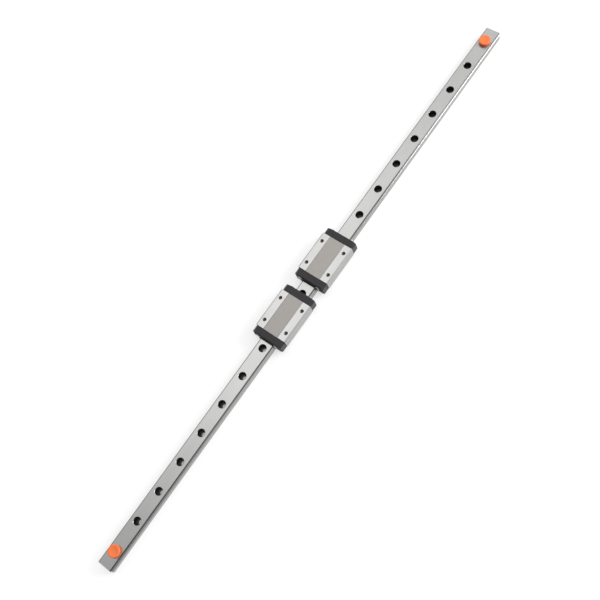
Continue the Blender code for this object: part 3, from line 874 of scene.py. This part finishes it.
def add_world():
    """A soft dome: dim to the left, brightest over the middle, fading to the right and the horizon."""
    # The dome's brightness, at directions with these X components.
    brightness = [(-0.7, 0.25), (-0.3, 0.38), (-0.14, 0.59), (-0.06, 0.8), (0.08, 1.3), (0.2, 1.27)]
    brightness += [(0.33, 1.01), (0.45, 0.74)]
    world = bpy.data.worlds.new("studio")
    world.use_nodes = True
    nodes = world.node_tree.nodes
    links = world.node_tree.links
    coordinates = nodes.new("ShaderNodeTexCoord")
    axes = nodes.new("ShaderNodeSeparateXYZ")
    spread = nodes.new("ShaderNodeMapRange")
    spread.inputs["From Min"].default_value = -1
    ramp = nodes.new("ShaderNodeValToRGB")
    ramp.color_ramp.interpolation = "EASE"
    stops = ramp.color_ramp.elements
    while len(stops) < len(brightness):
        stops.new(0.5)
    for stop, (x, value) in zip(stops, brightness):
        stop.position = (x + 1) / 2
        stop.color = (value / 2, value / 2, value / 2, 1)
    links.new(coordinates.outputs["Generated"], axes.inputs["Vector"])
    links.new(axes.outputs["X"], spread.inputs["Value"])
    links.new(spread.outputs["Result"], ramp.inputs["Fac"])
    height = nodes.new("ShaderNodeMapRange")
    height.interpolation_type = "SMOOTHSTEP"
    height.inputs["From Max"].default_value = 0.6
    height.inputs["To Min"].default_value = 0.5
    fade = nodes.new("ShaderNodeMix")
    fade.data_type = "RGBA"
    fade.inputs["A"].default_value = (0, 0, 0, 1)
    links.new(axes.outputs["Z"], height.inputs["Value"])
    links.new(height.outputs["Result"], fade.inputs["Factor"])
    links.new(ramp.outputs["Color"], fade.inputs["B"])
    links.new(fade.outputs["Result"], nodes["Background"].inputs["Color"])
    nodes["Background"].inputs["Strength"].default_value = 2.3
    add_backdrop(world)
    bpy.context.scene.world = world


def add_backdrop(world):
    """Plain white behind the floor's edge, where the dome would show its shading."""
    nodes = world.node_tree.nodes
    links = world.node_tree.links
    backdrop = nodes.new("ShaderNodeBackground")
    backdrop.inputs["Color"].default_value = (1, 1, 1, 1)
    seen = nodes.new("ShaderNodeLightPath")
    choice = nodes.new("ShaderNodeMixShader")
    links.new(seen.outputs["Is Camera Ray"], choice.inputs["Fac"])
    links.new(nodes["Background"].outputs["Background"], choice.inputs[1])
    links.new(backdrop.outputs["Background"], choice.inputs[2])
    links.new(choice.outputs["Shader"], nodes["World Output"].inputs["Surface"])


def add_floor():
    """A pale table that glows like a photographer's light table; under the rail its glow is lowered, a
    painted shadow.
    """
    shape = bmesh.new()
    bmesh.ops.create_grid(shape, x_segments=1, y_segments=1, size=3)
    floor = bpy.data.objects.new("floor", finished_mesh(shape))
    floor.location = (0, 0, -GAP)
    material = new_material("pale_floor_with_painted_shadow", (0.5, 0.5, 0.5), 0.0, 0.8)
    vary_colour(material, noise(material, (30, 30, 30)), (0.49, 0.49, 0.49), (0.51, 0.51, 0.51))
    shader = material.node_tree.nodes["Principled BSDF"]
    shader.inputs["Emission Color"].default_value = (1, 1, 1, 1)
    nodes = material.node_tree.nodes
    links = material.node_tree.links
    coordinates = nodes.new("ShaderNodeTexCoord")
    axes = nodes.new("ShaderNodeSeparateXYZ")
    along = math_node(material, "ABSOLUTE", axes.outputs["X"])
    past_end = math_node(material, "SUBTRACT", along, RAIL_HALF_LENGTH - RAIL_HALF_WIDTH)
    across = math_node(material, "ABSOLUTE", axes.outputs["Y"])
    # The glow drops from 0.58 to 0.3 under the rail: a painted shadow.
    glow_and_painted_shadow = nodes.new("ShaderNodeMapRange")
    glow_and_painted_shadow.inputs["From Min"].default_value = RAIL_HALF_WIDTH - 0.5 * MM
    glow_and_painted_shadow.inputs["From Max"].default_value = RAIL_HALF_WIDTH
    glow_and_painted_shadow.inputs["To Min"].default_value = 0.3
    glow_and_painted_shadow.inputs["To Max"].default_value = 0.58
    links.new(coordinates.outputs["Object"], axes.inputs["Vector"])
    links.new(math_node(material, "MAXIMUM", across, past_end), glow_and_painted_shadow.inputs["Value"])
    links.new(glow_and_painted_shadow.outputs["Result"], shader.inputs["Emission Strength"])
    floor.data.materials.append(material)
    bpy.context.scene.collection.objects.link(floor)


def add_studio():
    add_world()
    add_floor()
    add_area_light("front_right_softbox", (0.7, -0.65, 0.6), (0.17, 0, 0), (0.55, 0.45), 6.2)
    bpy.context.scene.view_settings.view_transform = "Standard"


add_camera()
add_pieces(make_materials())
add_studio()
